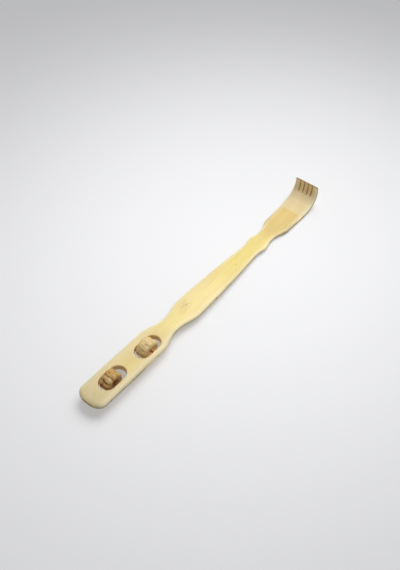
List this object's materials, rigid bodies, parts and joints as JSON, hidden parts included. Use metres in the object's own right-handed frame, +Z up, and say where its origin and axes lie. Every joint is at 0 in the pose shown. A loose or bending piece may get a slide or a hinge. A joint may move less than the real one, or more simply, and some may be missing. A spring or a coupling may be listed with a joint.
{
  "type": "back scratcher",
  "caption": "Long bamboo back scratcher: upturned rake with sawn fingers, slim tapering blade, and a flat handle whose slots carry knobbed massage rollers.",
  "frame": {"origin": "on the table, under the middle of the part's length and width, with the part lying as it is put down: on the far roller and the heel of the rake", "axes": "+X along the length towards the rake, +Y across the width, +Z up; the flat handle and blade slope down towards the rake by 2.12 degrees"},
  "size_m": [0.4744, 0.0422, 0.0347],
  "materials": {
    "bamboo": "smoothly sanded pale yellow bamboo with fine long fibres, a faint node mark and a thin satin finish",
    "roller_wood": "carved tan wood, dull, darker in the grooves",
    "dowel_wood": "dark reddish-brown wooden dowel, dull"
  },
  "bodies": {
    "handle": {"body": "bamboo", "near_axle": "dowel_wood", "far_axle": "dowel_wood"},
    "near_wheel": {"near_roller": "roller_wood"},
    "far_wheel": {"far_roller": "roller_wood"}
  },
  "joints": [
    {"name": "near_roller_spin", "type": "hinge", "parent": "handle", "child": "near_wheel", "pos_m": [-0.19445, 0, 0.01672], "axis": [0, 1, 0], "continuous": true},
    {"name": "far_roller_spin", "type": "hinge", "parent": "handle", "child": "far_wheel", "pos_m": [-0.129, 0, 0.0143], "axis": [0, 1, 0], "continuous": true}
  ]
}
